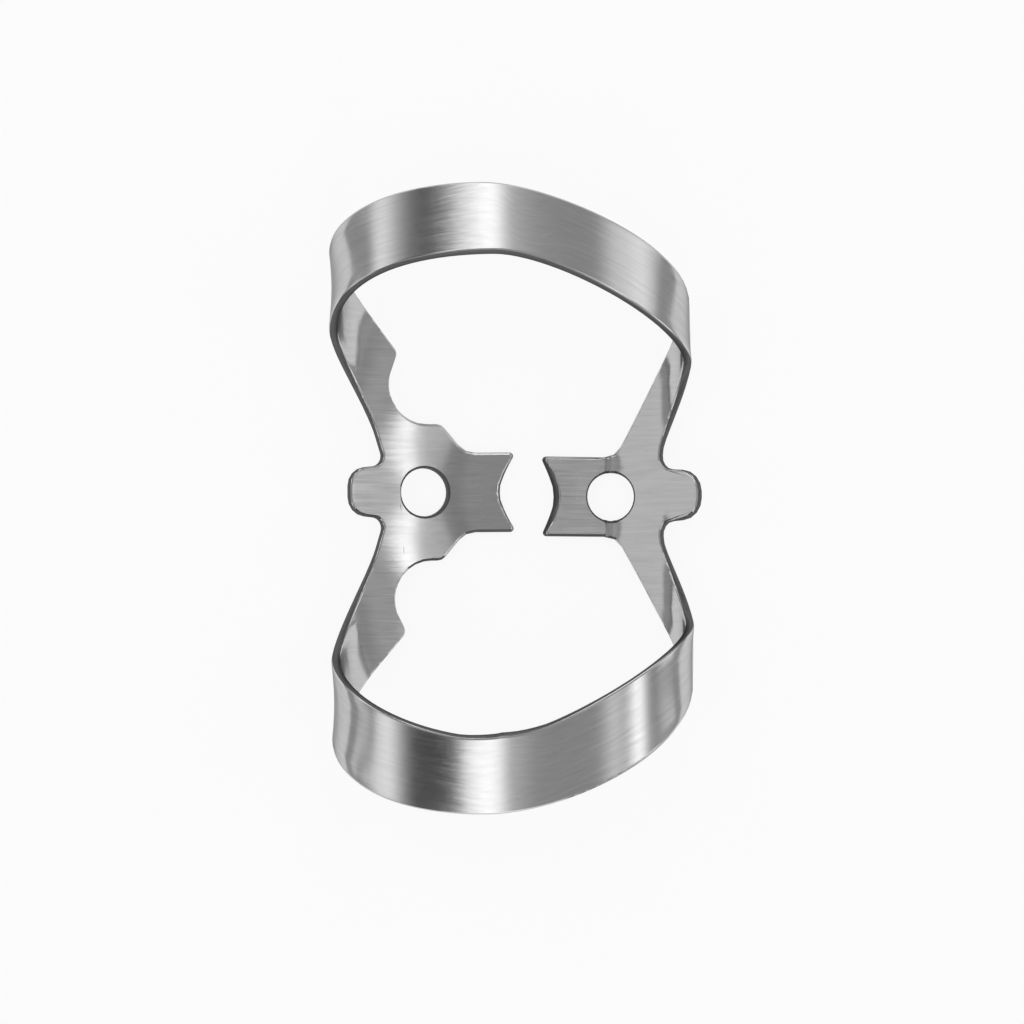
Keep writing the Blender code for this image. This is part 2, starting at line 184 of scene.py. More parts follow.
# The studio as the steel mirrors it, alike on both sides of the clamp. Each panel or dark flag reaches
# from one azimuth to another, counted from +X, and from one zenith angle to another, with soft borders
# of its own. Angles are in degrees, and a panel covers those before it.
Panel = namedtuple("Panel", "start start_soft end end_soft high low zenith_soft grey")
WALL_GREY = 0.39
PANELS = (
    Panel(start=-2, start_soft=2, end=10, end_soft=6, high=13, low=29, zenith_soft=8, grey=0.25),
    Panel(start=7, start_soft=3, end=18, end_soft=10, high=35, low=48, zenith_soft=6, grey=1.4),
    Panel(start=-2, start_soft=2, end=7, end_soft=4, high=31, low=41, zenith_soft=5, grey=0.15),
    Panel(start=-2, start_soft=2, end=5.8, end_soft=2, high=42, low=49, zenith_soft=3, grey=2.9),
    Panel(start=13, start_soft=10, end=39, end_soft=10, high=56, low=74, zenith_soft=5, grey=1.4),
    Panel(start=151, start_soft=10, end=182, end_soft=2, high=55, low=69, zenith_soft=6, grey=0.82),
    Panel(start=90, start_soft=4, end=129, end_soft=16, high=57, low=77, zenith_soft=5, grey=1.25),
    Panel(start=90, start_soft=4, end=150, end_soft=18, high=26, low=57, zenith_soft=5, grey=1.3),
    Panel(start=68, start_soft=16, end=94, end_soft=4, high=40, low=92, zenith_soft=8, grey=0.63),
    Panel(start=92.3, start_soft=2.5, end=109, end_soft=22, high=57, low=96, zenith_soft=5, grey=0.1),
    Panel(start=92.9, start_soft=2.5, end=121, end_soft=22, high=14, low=57, zenith_soft=5, grey=0.05),
    Panel(start=81.5, start_soft=12, end=92.3, end_soft=2.5, high=57, low=96, zenith_soft=4, grey=1.95),
    Panel(start=82, start_soft=12, end=93.1, end_soft=2.5, high=30, low=57, zenith_soft=4, grey=2.05),
)


class ClampSteel(bpy.types.PropertyGroup):
    """Sizes and colours of the steel."""

    colour: bpy.props.FloatVectorProperty(
        name="Steel", description="Colour of the ground faces",
        subtype="COLOR", size=4, min=0, max=1, default=(0.56, 0.56, 0.565, 1),
    )
    rounding_colour: bpy.props.FloatVectorProperty(
        name="Rounding", description="Colour of the tumbled roundings beside the cut edges",
        subtype="COLOR", size=4, min=0, max=1, default=(0.62, 0.62, 0.62, 1),
    )
    # The sheared edges are duller steel, and their near-black colour is partly painted shade; it also paints
    # shade on the lower roundings
    cut_and_shade_colour: bpy.props.FloatVectorProperty(
        name="Cut edge", description="Colour of the sheared edges",
        subtype="COLOR", size=4, min=0, max=1, default=(0.13, 0.13, 0.13, 1),
    )
    roughness: bpy.props.FloatProperty(
        name="Roughness", description="Roughness of the ground faces", min=0, max=1, default=0.2,
    )
    rounding_roughness: bpy.props.FloatProperty(
        name="Rounding roughness", description="Roughness of the roundings", min=0, max=1, default=0.16,
    )
    cut_roughness: bpy.props.FloatProperty(
        name="Cut roughness", description="Roughness of the cut edges", min=0, max=1, default=0.34,
    )
    line_spacing: bpy.props.FloatProperty(
        name="Line spacing", description="Distance between grinding lines",
        subtype="DISTANCE", unit="LENGTH", default=0.05 * MM,
    )
    line_length: bpy.props.FloatProperty(
        name="Line length", description="Length of a grinding line",
        subtype="DISTANCE", unit="LENGTH", default=2.5 * MM,
    )
    line_depth: bpy.props.FloatProperty(
        name="Line depth", description="Depth of the grinding lines",
        subtype="DISTANCE", unit="LENGTH", default=0.0005 * MM,
    )
    line_pitch: bpy.props.FloatProperty(
        name="Line pitch", description="How far the grinding lines tip along their way",
        subtype="ANGLE", unit="ROTATION", default=math.radians(1.1),
    )
    smooth_angle: bpy.props.FloatProperty(
        name="Smooth angle", description="Faces that meet at less than this angle shade as one",
        subtype="ANGLE", unit="ROTATION", default=math.radians(50),
    )


class ClampStage(bpy.types.PropertyGroup):
    """Sizes and colours of the studio."""

    floor_size: bpy.props.FloatProperty(
        name="Floor", description="Length of the floor's sides",
        subtype="DISTANCE", unit="LENGTH", default=3,
    )
    floor_colour: bpy.props.FloatVectorProperty(
        name="Floor colour", description="Colour of the floor",
        subtype="COLOR", size=4, min=0, max=1, default=(0.95, 0.95, 0.95, 1),
    )
    lamp_height: bpy.props.FloatProperty(
        name="Lamp height", description="Height of the soft lamp",
        subtype="DISTANCE", unit="LENGTH", default=0.6,
    )
    lamp_size: bpy.props.FloatProperty(
        name="Lamp size", description="Length of the soft lamp's sides",
        subtype="DISTANCE", unit="LENGTH", default=0.7,
    )
    lamp_power: bpy.props.FloatProperty(
        name="Lamp power", description="Power of the soft lamp", subtype="POWER", unit="POWER", default=1.0,
    )
    floor_white: bpy.props.FloatProperty(
        name="Floor white", description="How far the floor is shown as plain white",
        min=0, max=1, default=0.88,
    )
    wall_grey: bpy.props.FloatProperty(
        name="Wall grey", description="Brightness of the studio's walls", min=0, default=WALL_GREY,
    )
    world_strength: bpy.props.FloatProperty(
        name="World", description="Strength of the studio's walls and panels", min=0, default=1,
    )


def deselect_all():
    """Let go of all that is selected."""
    bpy.ops.object.select_all(action="DESELECT")


def grab(thing):
    """Select one object and make it active."""
    deselect_all()
    thing.select_set(True)
    bpy.context.view_layer.objects.active = thing


def node(tree, kind, place, **values):
    """A node of that kind, with its own values and, by name or number, its inputs' values."""
    made = tree.nodes.new(kind)
    made.location = place
    for name, value in values.items():
        if name == "inputs":
            for socket, given in value.items():
                made.inputs[socket].default_value = given
        else:
            setattr(made, name, value)
    return made


def sum_up(tree, operation, place, *terms):
    """A Math node whose terms are sockets or numbers. Its result socket is returned."""
    made = node(tree, "ShaderNodeMath", place, operation=operation)
    for number, term in enumerate(terms):
        if isinstance(term, bpy.types.NodeSocket):
            tree.links.new(term, made.inputs[number])
        else:
            made.inputs[number].default_value = term
    return made.outputs[0]


def new_group(name, inputs, outputs):
    """An empty node group with its sockets, and its two end nodes."""
    tree = bpy.data.node_groups.new(name, "ShaderNodeTree")
    for socket, kind, default in inputs:
        made = tree.interface.new_socket(socket, in_out="INPUT", socket_type=kind)
        if default is not None:
            made.default_value = default
    for socket, kind in outputs:
        tree.interface.new_socket(socket, in_out="OUTPUT", socket_type=kind)
    return tree, node(tree, "NodeGroupInput", (-1100, 0)), node(tree, "NodeGroupOutput", (700, 0))


def grinding_lines():
    """Fine lines along the strip: a map's metres run along and across it."""
    tree, given, out = new_group(
        "grinding_lines",
        [("Vector", "NodeSocketVector", None), ("Spacing", "NodeSocketFloat", 0.0001),
         ("Length", "NodeSocketFloat", 0.005)],
        [("Fine", "NodeSocketFloat"), ("Broad", "NodeSocketFloat")],
    )
    parts = node(tree, "ShaderNodeSeparateXYZ", (-900, 0))
    tree.links.new(given.outputs["Vector"], parts.inputs[0])
    along = sum_up(tree, "DIVIDE", (-700, 100), parts.outputs[0], given.outputs["Length"])
    across = sum_up(tree, "DIVIDE", (-700, -100), parts.outputs[1], given.outputs["Spacing"])
    for name, share, detail, y in (("Fine", 1.0, 3.0, 100), ("Broad", 0.22, 2.0, -200)):
        shrunk = sum_up(tree, "MULTIPLY", (-500, y - 80), across, share)
        joined = node(tree, "ShaderNodeCombineXYZ", (-300, y))
        tree.links.new(along, joined.inputs[0])
        tree.links.new(shrunk, joined.inputs[1])
        noise = node(tree, "ShaderNodeTexNoise", (-100, y),
                     inputs={"Scale": 1.0, "Detail": detail, "Roughness": 0.6})
        tree.links.new(joined.outputs[0], noise.inputs["Vector"])
        tree.links.new(noise.outputs[0], out.inputs[name])
    return tree


def handling_marks():
    """What use leaves on steel: a cloudy film and small dots."""
    tree, given, out = new_group(
        "handling_marks",
        [("Vector", "NodeSocketVector", None), ("Cloud Size", "NodeSocketFloat", 0.002)],
        [("Cloud", "NodeSocketFloat"), ("Dots", "NodeSocketFloat")],
    )
    scaled = node(tree, "ShaderNodeVectorMath", (-800, 0), operation="DIVIDE")
    tree.links.new(given.outputs["Vector"], scaled.inputs[0])
    tree.links.new(given.outputs["Cloud Size"], scaled.inputs[1])
    cloud = node(tree, "ShaderNodeTexNoise", (-500, 200),
                 inputs={"Scale": 1.0, "Detail": 5.0, "Roughness": 0.62})
    tree.links.new(scaled.outputs[0], cloud.inputs["Vector"])
    tree.links.new(cloud.outputs[0], out.inputs["Cloud"])

    cells = node(tree, "ShaderNodeTexVoronoi", (-500, -50), inputs={"Scale": 3.2, "Randomness": 1.0})
    tree.links.new(scaled.outputs[0], cells.inputs["Vector"])
    dots = node(tree, "ShaderNodeMapRange", (-200, -50), interpolation_type="SMOOTHSTEP",
                inputs={"From Min": 0.05, "From Max": 0.1, "To Min": 1.0, "To Max": 0.0})
    tree.links.new(cells.outputs["Distance"], dots.inputs["Value"])
    tree.links.new(dots.outputs[0], out.inputs["Dots"])
    return tree


def steel(name, colour, roughness, settings, lines, marks, line_contrast, anisotropic):
    """A steel finish: lines and marks shift its colour, roughness and slope a little."""
    material = bpy.data.materials.new(name)
    material.use_nodes = True
    tree = material.node_tree
    shader = tree.nodes["Principled BSDF"]
    shader.inputs["Metallic"].default_value = 1.0
    shader.inputs["Specular Tint"].default_value = SLANT_TINT
    shader.inputs["Anisotropic"].default_value = anisotropic
    shader.inputs["Anisotropic Rotation"].default_value = 0.25

    strip = node(tree, "ShaderNodeUVMap", (-1500, 200), uv_map="strip")
    coordinates = node(tree, "ShaderNodeTexCoord", (-1500, -200))
    line_group = node(tree, "ShaderNodeGroup", (-1200, 200), node_tree=lines,
                      inputs={"Spacing": settings.line_spacing, "Length": settings.line_length})
    tree.links.new(strip.outputs[0], line_group.inputs["Vector"])
    mark_group = node(tree, "ShaderNodeGroup", (-1200, -200), node_tree=marks)
    tree.links.new(coordinates.outputs["Object"], mark_group.inputs["Vector"])

    # Colour: lines and cloud lighten and darken it, and dots show as darker specks
    fine = sum_up(tree, "SUBTRACT", (-950, 300), line_group.outputs["Fine"], 0.5)
    broad = sum_up(tree, "SUBTRACT", (-950, 150), line_group.outputs["Broad"], 0.5)
    cloud = sum_up(tree, "SUBTRACT", (-950, 0), mark_group.outputs["Cloud"], 0.5)
    lined = sum_up(tree, "MULTIPLY_ADD", (-750, 300), fine, line_contrast, 1.0)
    lined = sum_up(tree, "MULTIPLY_ADD", (-600, 250), broad, line_contrast, lined)
    lined = sum_up(tree, "MULTIPLY_ADD", (-450, 200), cloud, CLOUD_CONTRAST, lined)
    lined = sum_up(tree, "MULTIPLY_ADD", (-300, 150), mark_group.outputs["Dots"], DOT_CONTRAST, lined)
    tint = node(tree, "ShaderNodeVectorMath", (-150, 200), operation="SCALE")
    tint.inputs[0].default_value = colour[:3]
    tree.links.new(lined, tint.inputs["Scale"])
    tree.links.new(tint.outputs[0], shader.inputs["Base Color"])

    rough = sum_up(tree, "MULTIPLY_ADD", (-600, -100), fine, LINES_ROUGHEN, roughness)
    rough = sum_up(tree, "MULTIPLY_ADD", (-450, -100), cloud, CLOUD_ROUGHENS, rough)
    tree.links.new(rough, shader.inputs["Roughness"])

    bump = node(tree, "ShaderNodeBump", (-300, -300),
                inputs={"Strength": 1.0, "Distance": settings.line_depth})
    tree.links.new(fine, bump.inputs["Height"])
    normal = bump.outputs[0]
    if anisotropic:
        # A line lies a little up or down along its way, which frays the borders of what the steel mirrors
        tangent = node(tree, "ShaderNodeTangent", (-500, -500), direction_type="UV_MAP", uv_map="strip")
        tree.links.new(tangent.outputs[0], shader.inputs["Tangent"])
        pitch = sum_up(tree, "MULTIPLY_ADD", (-600, -300), broad, BROAD_PITCH, fine)
        pitch = sum_up(tree, "MULTIPLY", (-450, -300), pitch, settings.line_pitch)
        tipped = node(tree, "ShaderNodeVectorMath", (-150, -450), operation="SCALE")
        tree.links.new(tangent.outputs[0], tipped.inputs[0])
        tree.links.new(pitch, tipped.inputs["Scale"])
        joined = node(tree, "ShaderNodeVectorMath", (0, -350), operation="ADD")
        tree.links.new(normal, joined.inputs[0])
        tree.links.new(tipped.outputs[0], joined.inputs[1])
        unit = node(tree, "ShaderNodeVectorMath", (150, -350), operation="NORMALIZE")
        tree.links.new(joined.outputs[0], unit.inputs[0])
        normal = unit.outputs[0]
    tree.links.new(normal, shader.inputs["Normal"])
    return material


def finishes(mesh):
    """For each face, its finish: the sheet's, an upper rounding's, or else the cut edge's, whose dark colour
    on the other roundings is painted shade.
    """
    whole = BVHTree.FromBMesh(mesh)
    centres = [face.calc_center_median() for face in mesh.faces]
    flat = []
    for face, centre in zip(mesh.faces, centres):
        hit, normal, _, distance = whole.ray_cast(centre - face.normal * RAY_START, -face.normal)
        is_thin = hit is not None and distance < SHEET_AT_MOST
        flat.append(is_thin and abs(normal.dot(face.normal)) > PARALLEL)
    sheet = BVHTree.FromPolygons(
        [vert.co for vert in mesh.verts],
        [[vert.index for vert in face.verts] for face, is_flat in zip(mesh.faces, flat) if is_flat],
    )
    result = []
    for face, centre, is_flat in zip(mesh.faces, centres, flat):
        nearby = sheet.find_nearest_range(centre, EDGE_REACH)
        alike = [(distance, normal) for _, normal, _, distance in nearby if normal.dot(face.normal) > ALIKE]
        near = min(alike, key=lambda found: found[0])[1] if alike else None
        turned = face.normal.angle(near) if near else math.pi / 2
        to_hole = min(math.hypot(centre.x - hole.x, centre.y - hole.y) for hole in HOLES)
        in_jaw = centre.z < JAW_TOP_Z
        in_bend = in_jaw and abs(centre.x - BEND_X) < BEND_REACH and to_hole > HOLE_KEEPS + HOLE_EDGE
        in_bend = in_bend and abs(centre.y - HOLES[1].y) < BEND_HALF_WIDTH and face.normal.z > BEND_FACES_Z
        is_shaded = in_jaw and (to_hole < SHADED_HOLE_RIM or face.normal.y < SHADED_FACES_Y)
        if is_flat or turned < ROUNDING_FROM or in_bend:
            result.append(SHEET)
        # Roundings that face down, ring the holes or face the front in the jaws get the dark cut finish as
        # painted shade
        elif turned < CUT_FROM and near.z > 0 and not is_shaded:
            result.append(ROUNDING)
        else:
            result.append(CUT_AND_SHADE)
    return result


def winding_angle(place):
    """A place's angle round the winding, from straight up towards +X."""
    return math.atan2(place.x - WINDING_X, place.z - WINDING_Z)


def middle_line(mesh, side):
    """The strip's middle on one side: how far it is from the middle plane, by its angle round the winding."""
    strip = [vert.co for vert in mesh.verts if vert.co.y * side > 0 and vert.co.z > JAW_TOP_Z]
    angles = np.array([winding_angle(place) for place in strip])
    offs = np.array([abs(place.y) for place in strip])
    places, middles = [], []
    for start in np.arange(-math.pi, math.pi, MIDDLE_STEP):
        inside = offs[(angles >= start) & (angles < start + MIDDLE_STEP)]
        if len(inside) >= MIDDLE_NEEDS:
            places.append(start + MIDDLE_STEP / 2)
            middles.append((inside.min() + inside.max()) / 2)
    kernel = np.full(MIDDLE_SPREAD, 1 / MIDDLE_SPREAD)
    return places, np.convolve(np.pad(middles, MIDDLE_SPREAD // 2, mode="edge"), kernel, mode="valid")


def map_strip(mesh):
    """A map in metres, whose U runs along the strip and whose V runs across it."""
    lines = {side: middle_line(mesh, side) for side in (1, -1)}
    layer = mesh.loops.layers.uv.new("strip")
    for face in mesh.faces:
        side = 1 if face.calc_center_median().y > 0 else -1
        for loop in face.loops:
            place = loop.vert.co
            angle = winding_angle(place)
            middle = np.interp(angle, *lines[side])
            loop[layer].uv = (WINDING_RADIUS * angle, place.y - side * middle)


def fade(value, start, end):
    """One up to the start, nothing past the end, and a soft step between."""
    share = min(1.0, max(0.0, (value - start) / (end - start)))
    return (1 + math.cos(math.pi * share)) / 2


def hollow_curls(mesh):
    """Sink the curls' middle towards the winding."""
    lines = {side: middle_line(mesh, side) for side in (1, -1)}
    for vert in mesh.verts:
        if vert.co.z > JAW_TOP_Z:
            side = 1 if vert.co.y > 0 else -1
            angle = winding_angle(vert.co)
            across = (vert.co.y - side * np.interp(angle, *lines[side])) / STRIP_HALF_WIDTH
            depth = CURL_HOLLOW * max(0.0, 1 - across * across)
            depth *= fade(abs(abs(angle) - CURL_ANGLE), 0, CURL_REACH)
            away = Vector((vert.co.x - WINDING_X, 0, vert.co.z - WINDING_Z))
            vert.co -= away.normalized() * depth


def lengthen_holes(mesh):
    """Make the forceps holes a little longer along the sheet than across."""
    for vert in mesh.verts:
        for hole in HOLES:
            off = Vector((vert.co.x - hole.x, vert.co.y - hole.y))
            if vert.co.z < JAW_TOP_Z and off.length < HOLE_FADES:
                share = fade(off.length, HOLE_KEEPS, HOLE_FADES)
                slope = hole.left_slope if off.x < 0 else hole.right_slope
                shift = off.x * hole.longer
                vert.co += Vector((shift, off.y * hole.wider, shift * slope)) * share


def round_tips(mesh):
    """Round the hollows of the tips, and set back their upper rims."""
    for tip in TIPS:
        inward = math.copysign(1, tip.x)
        for vert in mesh.verts:
            across = abs(vert.co.y - tip.y) / tip.half_width
            away = abs(vert.co.x - tip.x)
            if across < 1 and away < tip.reach and vert.co.z < JAW_TOP_Z:
                share = fade(away, TIP_KEEPS * tip.reach, tip.reach)
                shift = tip.deeper * math.sin(math.pi * across)
                if vert.co.z - tip.slope * (vert.co.x - tip.x) > tip.upper:
                    shift += tip.rim * fade(across, RIM_KEEPS, 1) * max(0.0, vert.normal.z)
                vert.co += Vector((1, 0, tip.slope)) * inward * shift * share


def ease_crown(mesh):
    """Draw the front bow's inner edge in at its crown, where two curves meet in it."""
    line = middle_line(mesh, -1)
    for vert in mesh.verts:
        off = abs(vert.co.x - CROWN_X) / CROWN_REACH
        if vert.co.y < 0 and vert.co.z > JAW_TOP_Z and off < 1:
            across = (-vert.co.y - np.interp(winding_angle(vert.co), *line)) / STRIP_HALF_WIDTH
            share = min(1.0, max(0.0, (1 - across) / 2)) ** 2
            vert.co.y += CROWN_DRAWN_IN * share * (1 - off) ** CROWN_FALL


def cut_into_cells(mesh):
    """Cut the jaws' long faces crosswise and lengthwise, so that shading can vary over them."""
    for axis, reach, step in ((0, JAW_REACH, CELL_LENGTH), (1, JAW_REACH / 2, CELL_WIDTH)):
        direction = Vector((0, 0, 0))
        direction[axis] = 1
        count = int(reach / step)
        for number in range(-count, count + 1):
            faces = [
                face for face in mesh.faces
                if max(vert.co.z for vert in face.verts) < JAW_TOP_Z
                and min(vert.co[axis] for vert in face.verts) < number * step
                and max(vert.co[axis] for vert in face.verts) > number * step
            ]
            parts = {part for face in faces for part in (face, *face.edges, *face.verts)}
            bmesh.ops.bisect_plane(
                mesh, geom=list(parts), dist=CELL_SLACK,
                plane_co=direction * number * step, plane_no=direction,
            )
    bmesh.ops.remove_doubles(mesh, verts=mesh.verts, dist=CELL_WELD)


def even_out_jaws(piece, normals):
    """Give the jaws' sheet the normals of smooth bends: each is a mean of the sheet's round about.

    The jaws are bent about lines parallel to Y, so a face that leans towards Y isn't counted.
    """
    sheet = [face for face in piece.data.polygons if face.material_index == SHEET]
    tree = KDTree(len(sheet))
    for number, face in enumerate(sheet):
        if abs(face.normal.y) < LEAN_AT_MOST:
            tree.insert(face.center, number)
    tree.balance()
    found = {}
    for face in sheet:
        if face.center.z > JAW_TOP_Z:
            continue
        up = face.normal.z > 0
        for corner in face.loop_indices:
            number = piece.data.loops[corner].vertex_index
            place = piece.data.vertices[number].co
            if (number, up) not in found:
                mean = Vector((0, 0, 0))
                spread = LEFT_SPREAD if place.x < 0 else RIGHT_SPREAD
                for _, index, distance in tree.find_range(place, SPREAD_REACH * spread):
                    other = sheet[index]
                    if (other.normal.z > 0) == up:
                        mean += other.normal * other.area * math.exp(-(distance / spread) ** 2 / 2)
                found[number, up] = mean.normalized() if mean.length else normals[corner]
            even = found[number, up]
            if up and 0 < face.center.x < JAW_ENDS_AT and face.normal.x > JAW_LEANS:
                even = face.normal
            elif up and place.x > 0 and even.x > BEND_LEANS:
                even = Vector((BEND_LEANS, 0, math.sqrt(1 - BEND_LEANS ** 2)))
            share = fade(place.z, JAW_FADES_AT_Z, JAW_TOP_Z)
            normals[corner] = normals[corner].lerp(even, share).normalized()


def even_out_bows(piece, normals):
    """Give each bow's faces the same slope from edge to edge, as a strip that is bent without a twist has."""
    steps = 2 * int(BOW_FADES_AT / BOW_STEP) + 1
    bows = [
        face for face in piece.data.polygons
        if face.material_index == SHEET and face.center.z > JAW_TOP_Z and abs(face.center.x) < BOW_FADES_AT
    ]
    for side in (1, -1):
        for up in (True, False):
            faces = [face for face in bows if face.center.y * side > 0 and (face.normal.z > 0) == up]
            total = np.zeros((steps, 3))
            for face in faces:
                number = int((face.center.x + BOW_FADES_AT) / BOW_STEP)
                total[number] += np.array(face.normal) * face.area
            kernel = np.hanning(BOW_SPREAD + 2)
            smooth = np.stack([np.convolve(total[:, axis], kernel, mode="same") for axis in range(3)], 1)
            places = (np.arange(steps) + 0.5) * BOW_STEP - BOW_FADES_AT
            for face in faces:
                for corner in face.loop_indices:
                    x = piece.data.vertices[piece.data.loops[corner].vertex_index].co.x
                    even = Vector([np.interp(x, places, smooth[:, axis]) for axis in range(3)]).normalized()
                    share = fade(abs(x), BOW_EVEN_TO, BOW_FADES_AT)
                    normals[corner] = normals[corner].lerp(even, share).normalized()


class CLAMP_OT_steel(bpy.types.Operator):
    """Make the stamped clamp, with its ground faces and its cut edges"""

    bl_idname = "clamp.steel"
    bl_label = "Stamped Clamp"
    bl_options = {"REGISTER", "UNDO"}

    def execute(self, context):
        settings = context.scene.clamp_steel
        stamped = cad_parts["clamp"]
        piece = bpy.data.objects.new("clamp_steel", stamped.data.copy())
        context.scene.collection.objects.link(piece)
        grab(piece)
        bpy.ops.object.mode_set(mode="EDIT")
        bpy.ops.mesh.select_all(action="SELECT")
        bpy.ops.mesh.remove_doubles(threshold=MESH_WELD)
        bpy.ops.object.mode_set(mode="OBJECT")

        lines, marks = grinding_lines(), handling_marks()
        piece.data.materials.clear()
        for name, colour, roughness, line_contrast, anisotropic in (
            ("ground_steel", settings.colour, settings.roughness, 0.24, 0.75),
            ("tumbled_steel", settings.rounding_colour, settings.rounding_roughness, 0.1, 0.0),
            # The cut edges' finish is dark partly as sheared steel and partly as painted shade, and it also
            # lies on roundings as painted shade
            ("cut_and_shaded_steel", settings.cut_and_shade_colour, settings.cut_roughness, 0.2, 0.0),
        ):
            finish = steel(name, colour, roughness, settings, lines, marks, line_contrast, anisotropic)
            piece.data.materials.append(finish)
        mesh = bmesh.new()
        mesh.from_mesh(piece.data)
        for face, finish in zip(mesh.faces, finishes(mesh)):
            face.material_index = finish
        cut_into_cells(mesh)
        hollow_curls(mesh)
        lengthen_holes(mesh)
        round_tips(mesh)
        ease_crown(mesh)
        map_strip(mesh)
        mesh.to_mesh(piece.data)
        mesh.free()

        bpy.ops.object.shade_smooth_by_angle(angle=settings.smooth_angle)
        bpy.ops.object.modifier_add(type="WEIGHTED_NORMAL")
        piece.modifiers[-1].keep_sharp = True
        bpy.ops.object.modifier_apply(modifier=piece.modifiers[-1].name)
        normals = [Vector(corner.vector) for corner in piece.data.corner_normals]
        even_out_jaws(piece, normals)
        even_out_bows(piece, normals)
        piece.data.normals_split_custom_set(normals)
        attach(piece, "root")
        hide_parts("clamp")
        return {"FINISHED"}


def panel_group():
    """How much of a direction a studio panel covers. Its borders are soft, and angles are in degrees."""
    tree, given, out = new_group(
        "studio_panel",
        [(name, "NodeSocketFloat", 0.0) for name in (
            "Azimuth", "Zenith", "Start", "Start Soft", "End", "End Soft", "High", "Low", "Zenith Soft",
        )],
        [("Cover", "NodeSocketFloat")],
    )
    cover = 1.0
    for number, (angle, border, soft, sense) in enumerate((
        ("Azimuth", "Start", "Start Soft", 1), ("Azimuth", "End", "End Soft", -1),
        ("Zenith", "High", "Zenith Soft", 1), ("Zenith", "Low", "Zenith Soft", -1),
    )):
        y = 300 - 220 * number
        half = sum_up(tree, "MULTIPLY", (-800, y), given.outputs[soft], sense / 2)
        edge = node(tree, "ShaderNodeMapRange", (-400, y), interpolation_type="SMOOTHSTEP")
        tree.links.new(given.outputs[angle], edge.inputs["Value"])
        for socket, operation in (("From Min", "SUBTRACT"), ("From Max", "ADD")):
            limit = sum_up(tree, operation, (-600, y), given.outputs[border], half)
            tree.links.new(limit, edge.inputs[socket])
        cover = sum_up(tree, "MULTIPLY", (-100, y), edge.outputs[0], cover)
    tree.links.new(cover, out.inputs["Cover"])
    return tree


def seen_white(tree, place):
    """One where a camera, mirror or glass looks, and nothing where light arrives."""
    path = node(tree, "ShaderNodeLightPath", place)
    seen = path.outputs["Is Camera Ray"]
    for number, ray in enumerate(("Is Glossy Ray", "Is Transmission Ray"), 1):
        seen = sum_up(tree, "MAXIMUM", (place[0] + 200 * number, place[1]), seen, path.outputs[ray])
    return seen


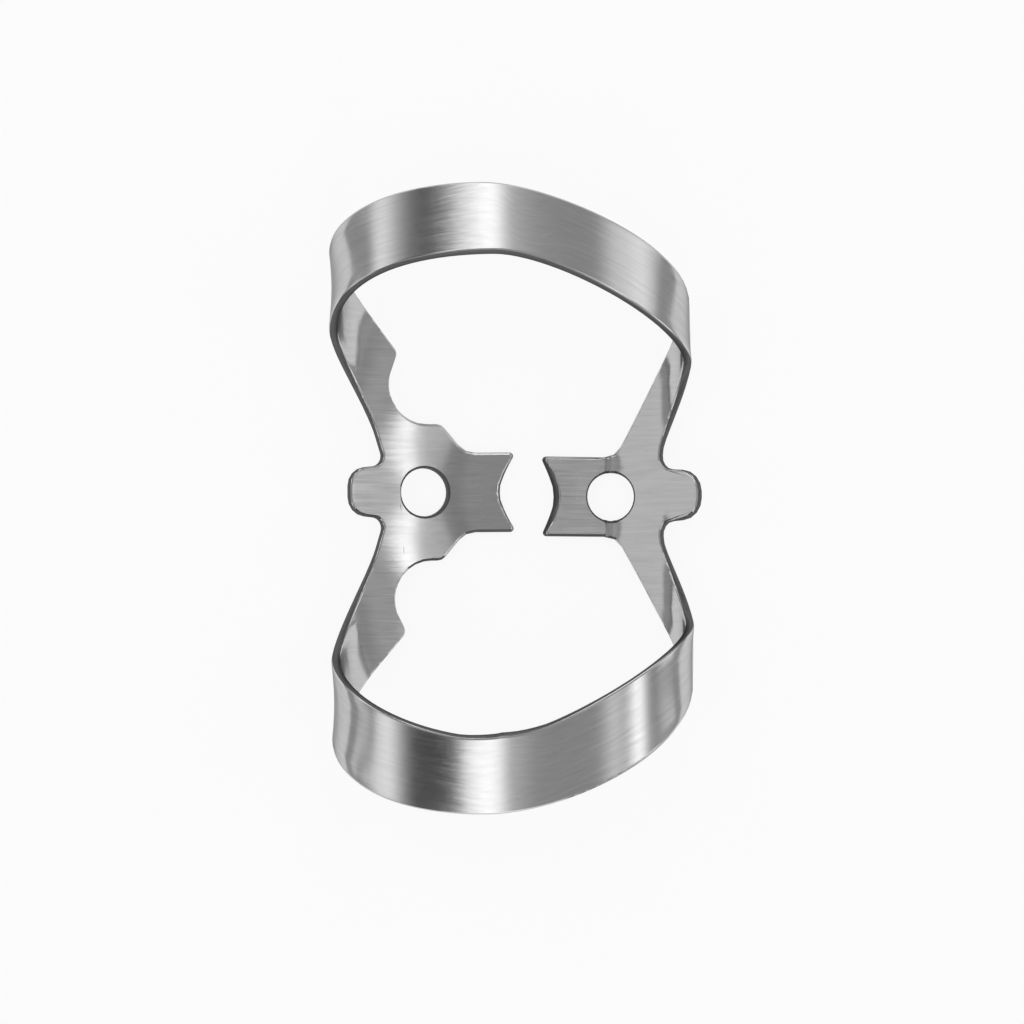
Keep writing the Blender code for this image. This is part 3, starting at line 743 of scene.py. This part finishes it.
class CLAMP_OT_stage(bpy.types.Operator):
    """Set up the floor, the studio's walls and panels, the soft lamp and the camera"""

    bl_idname = "clamp.stage"
    bl_label = "Studio"
    bl_options = {"REGISTER", "UNDO"}

    def floor(self, settings):
        """A pale floor that keeps the clamp's shadow."""
        bpy.ops.mesh.primitive_plane_add(size=settings.floor_size)
        floor = bpy.context.active_object
        floor.name = "studio_floor"
        material = bpy.data.materials.new("studio_floor")
        material.use_nodes = True
        tree = material.node_tree
        shader = tree.nodes["Principled BSDF"]
        shader.inputs["Base Color"].default_value = settings.floor_colour
        shader.inputs["Roughness"].default_value = 0.9
        shader.inputs["Specular IOR Level"].default_value = 0.0
        glow = node(tree, "ShaderNodeEmission", (0, -250), inputs={"Color": (1, 1, 1, 1), "Strength": 1.0})
        mix = node(tree, "ShaderNodeMixShader", (300, 0))
        share = sum_up(tree, "MULTIPLY", (150, 200), seen_white(tree, (-500, 300)), settings.floor_white)
        tree.links.new(share, mix.inputs[0])
        tree.links.new(shader.outputs[0], mix.inputs[1])
        tree.links.new(glow.outputs[0], mix.inputs[2])
        tree.links.new(mix.outputs[0], tree.nodes["Material Output"].inputs["Surface"])
        floor.data.materials.append(material)

    def world(self, settings):
        """Walls of a grey room with light panels and dark flags on two sides."""
        world = bpy.data.worlds.new("studio")
        bpy.context.scene.world = world
        world.use_nodes = True
        tree = world.node_tree
        coordinates = node(tree, "ShaderNodeTexCoord", (-1200, 0))
        parts = node(tree, "ShaderNodeSeparateXYZ", (-1000, 0))
        tree.links.new(coordinates.outputs["Generated"], parts.inputs[0])
        aside = sum_up(tree, "ABSOLUTE", (-850, 100), parts.outputs[1])
        azimuth = sum_up(tree, "ARCTAN2", (-700, 100), aside, parts.outputs[0])
        azimuth = sum_up(tree, "DEGREES", (-550, 100), azimuth)
        zenith = sum_up(tree, "ARCCOSINE", (-700, -150), parts.outputs[2])
        zenith = sum_up(tree, "DEGREES", (-550, -150), zenith)
        group = panel_group()
        grey = settings.wall_grey
        for number, panel in enumerate(PANELS):
            x = -350 + 250 * number
            cover = node(tree, "ShaderNodeGroup", (x, 0), node_tree=group, inputs={
                "Start": panel.start, "Start Soft": panel.start_soft,
                "End": panel.end, "End Soft": panel.end_soft,
                "High": panel.high, "Low": panel.low, "Zenith Soft": panel.zenith_soft,
            })
            tree.links.new(azimuth, cover.inputs["Azimuth"])
            tree.links.new(zenith, cover.inputs["Zenith"])
            mix = node(tree, "ShaderNodeMix", (x, 300), data_type="FLOAT")
            tree.links.new(cover.outputs[0], mix.inputs[0])
            if isinstance(grey, float):
                mix.inputs[2].default_value = grey
            else:
                tree.links.new(grey, mix.inputs[2])
            mix.inputs[3].default_value = panel.grey
            grey = mix.outputs[0]
        lit = tree.nodes["Background"]
        lit.inputs["Color"].default_value = (1, 1, 1, 1)
        strength = sum_up(tree, "MULTIPLY", (1700, 300), grey, settings.world_strength)
        tree.links.new(strength, lit.inputs["Strength"])

    def lamp(self, settings):
        """One soft lamp overhead, which the steel doesn't mirror."""
        bpy.ops.object.light_add(type="AREA", location=(0, 0, settings.lamp_height))
        lamp = bpy.context.active_object
        lamp.name = "soft_lamp"
        lamp.data.shape = "SQUARE"
        lamp.data.size = settings.lamp_size
        lamp.data.energy = settings.lamp_power
        lamp.visible_glossy = False
        lamp.visible_camera = False

    def camera(self):
        """The camera stands above the clamp, a little towards -Y, and looks down."""
        turn = (
            Matrix.Rotation(-ROLL, 3, "Z")
            @ Matrix.Rotation(TILT_ABOUT_Y, 3, "Y")
            @ Matrix.Rotation(TILT_ABOUT_X, 3, "X")
        ).transposed()
        bpy.ops.object.camera_add(
            location=TARGET + turn @ Vector((0, 0, DISTANCE)), rotation=turn.to_euler(),
        )
        camera = bpy.context.active_object
        camera.name = "portrait_camera"
        camera.data.lens = FOCAL_LENGTH
        camera.data.sensor_width = 36
        camera.data.shift_x = SHIFT_X
        camera.data.shift_y = SHIFT_Y
        camera.data.clip_start = 0.01
        camera.data.clip_end = 10
        bpy.context.scene.camera = camera

    def execute(self, context):
        settings = context.scene.clamp_stage
        deselect_all()
        self.floor(settings)
        self.world(settings)
        self.lamp(settings)
        self.camera()
        context.scene.view_settings.view_transform = "Standard"
        return {"FINISHED"}


class CLAMP_PT_panel(bpy.types.Panel):
    """The clamp's and its studio's settings"""

    bl_idname = "CLAMP_PT_panel"
    bl_label = "Rubber Dam Clamp"
    bl_space_type = "VIEW_3D"
    bl_region_type = "UI"
    bl_category = "Clamp"

    def draw(self, context):
        for settings, operator in (
            (context.scene.clamp_steel, "clamp.steel"), (context.scene.clamp_stage, "clamp.stage"),
        ):
            box = self.layout.box()
            for name in settings.__annotations__:
                box.prop(settings, name)
            box.operator(operator)


CLASSES = (ClampSteel, ClampStage, CLAMP_OT_steel, CLAMP_OT_stage, CLAMP_PT_panel)


def register():
    for cls in CLASSES:
        bpy.utils.register_class(cls)
    bpy.types.Scene.clamp_steel = bpy.props.PointerProperty(type=ClampSteel)
    bpy.types.Scene.clamp_stage = bpy.props.PointerProperty(type=ClampStage)


def unregister():
    del bpy.types.Scene.clamp_stage
    del bpy.types.Scene.clamp_steel
    for cls in reversed(CLASSES):
        bpy.utils.unregister_class(cls)


def main():
    """Make the clamp and its studio."""
    register()
    bpy.ops.clamp.steel()
    bpy.ops.clamp.stage()


if __name__ == "__main__":
    main()
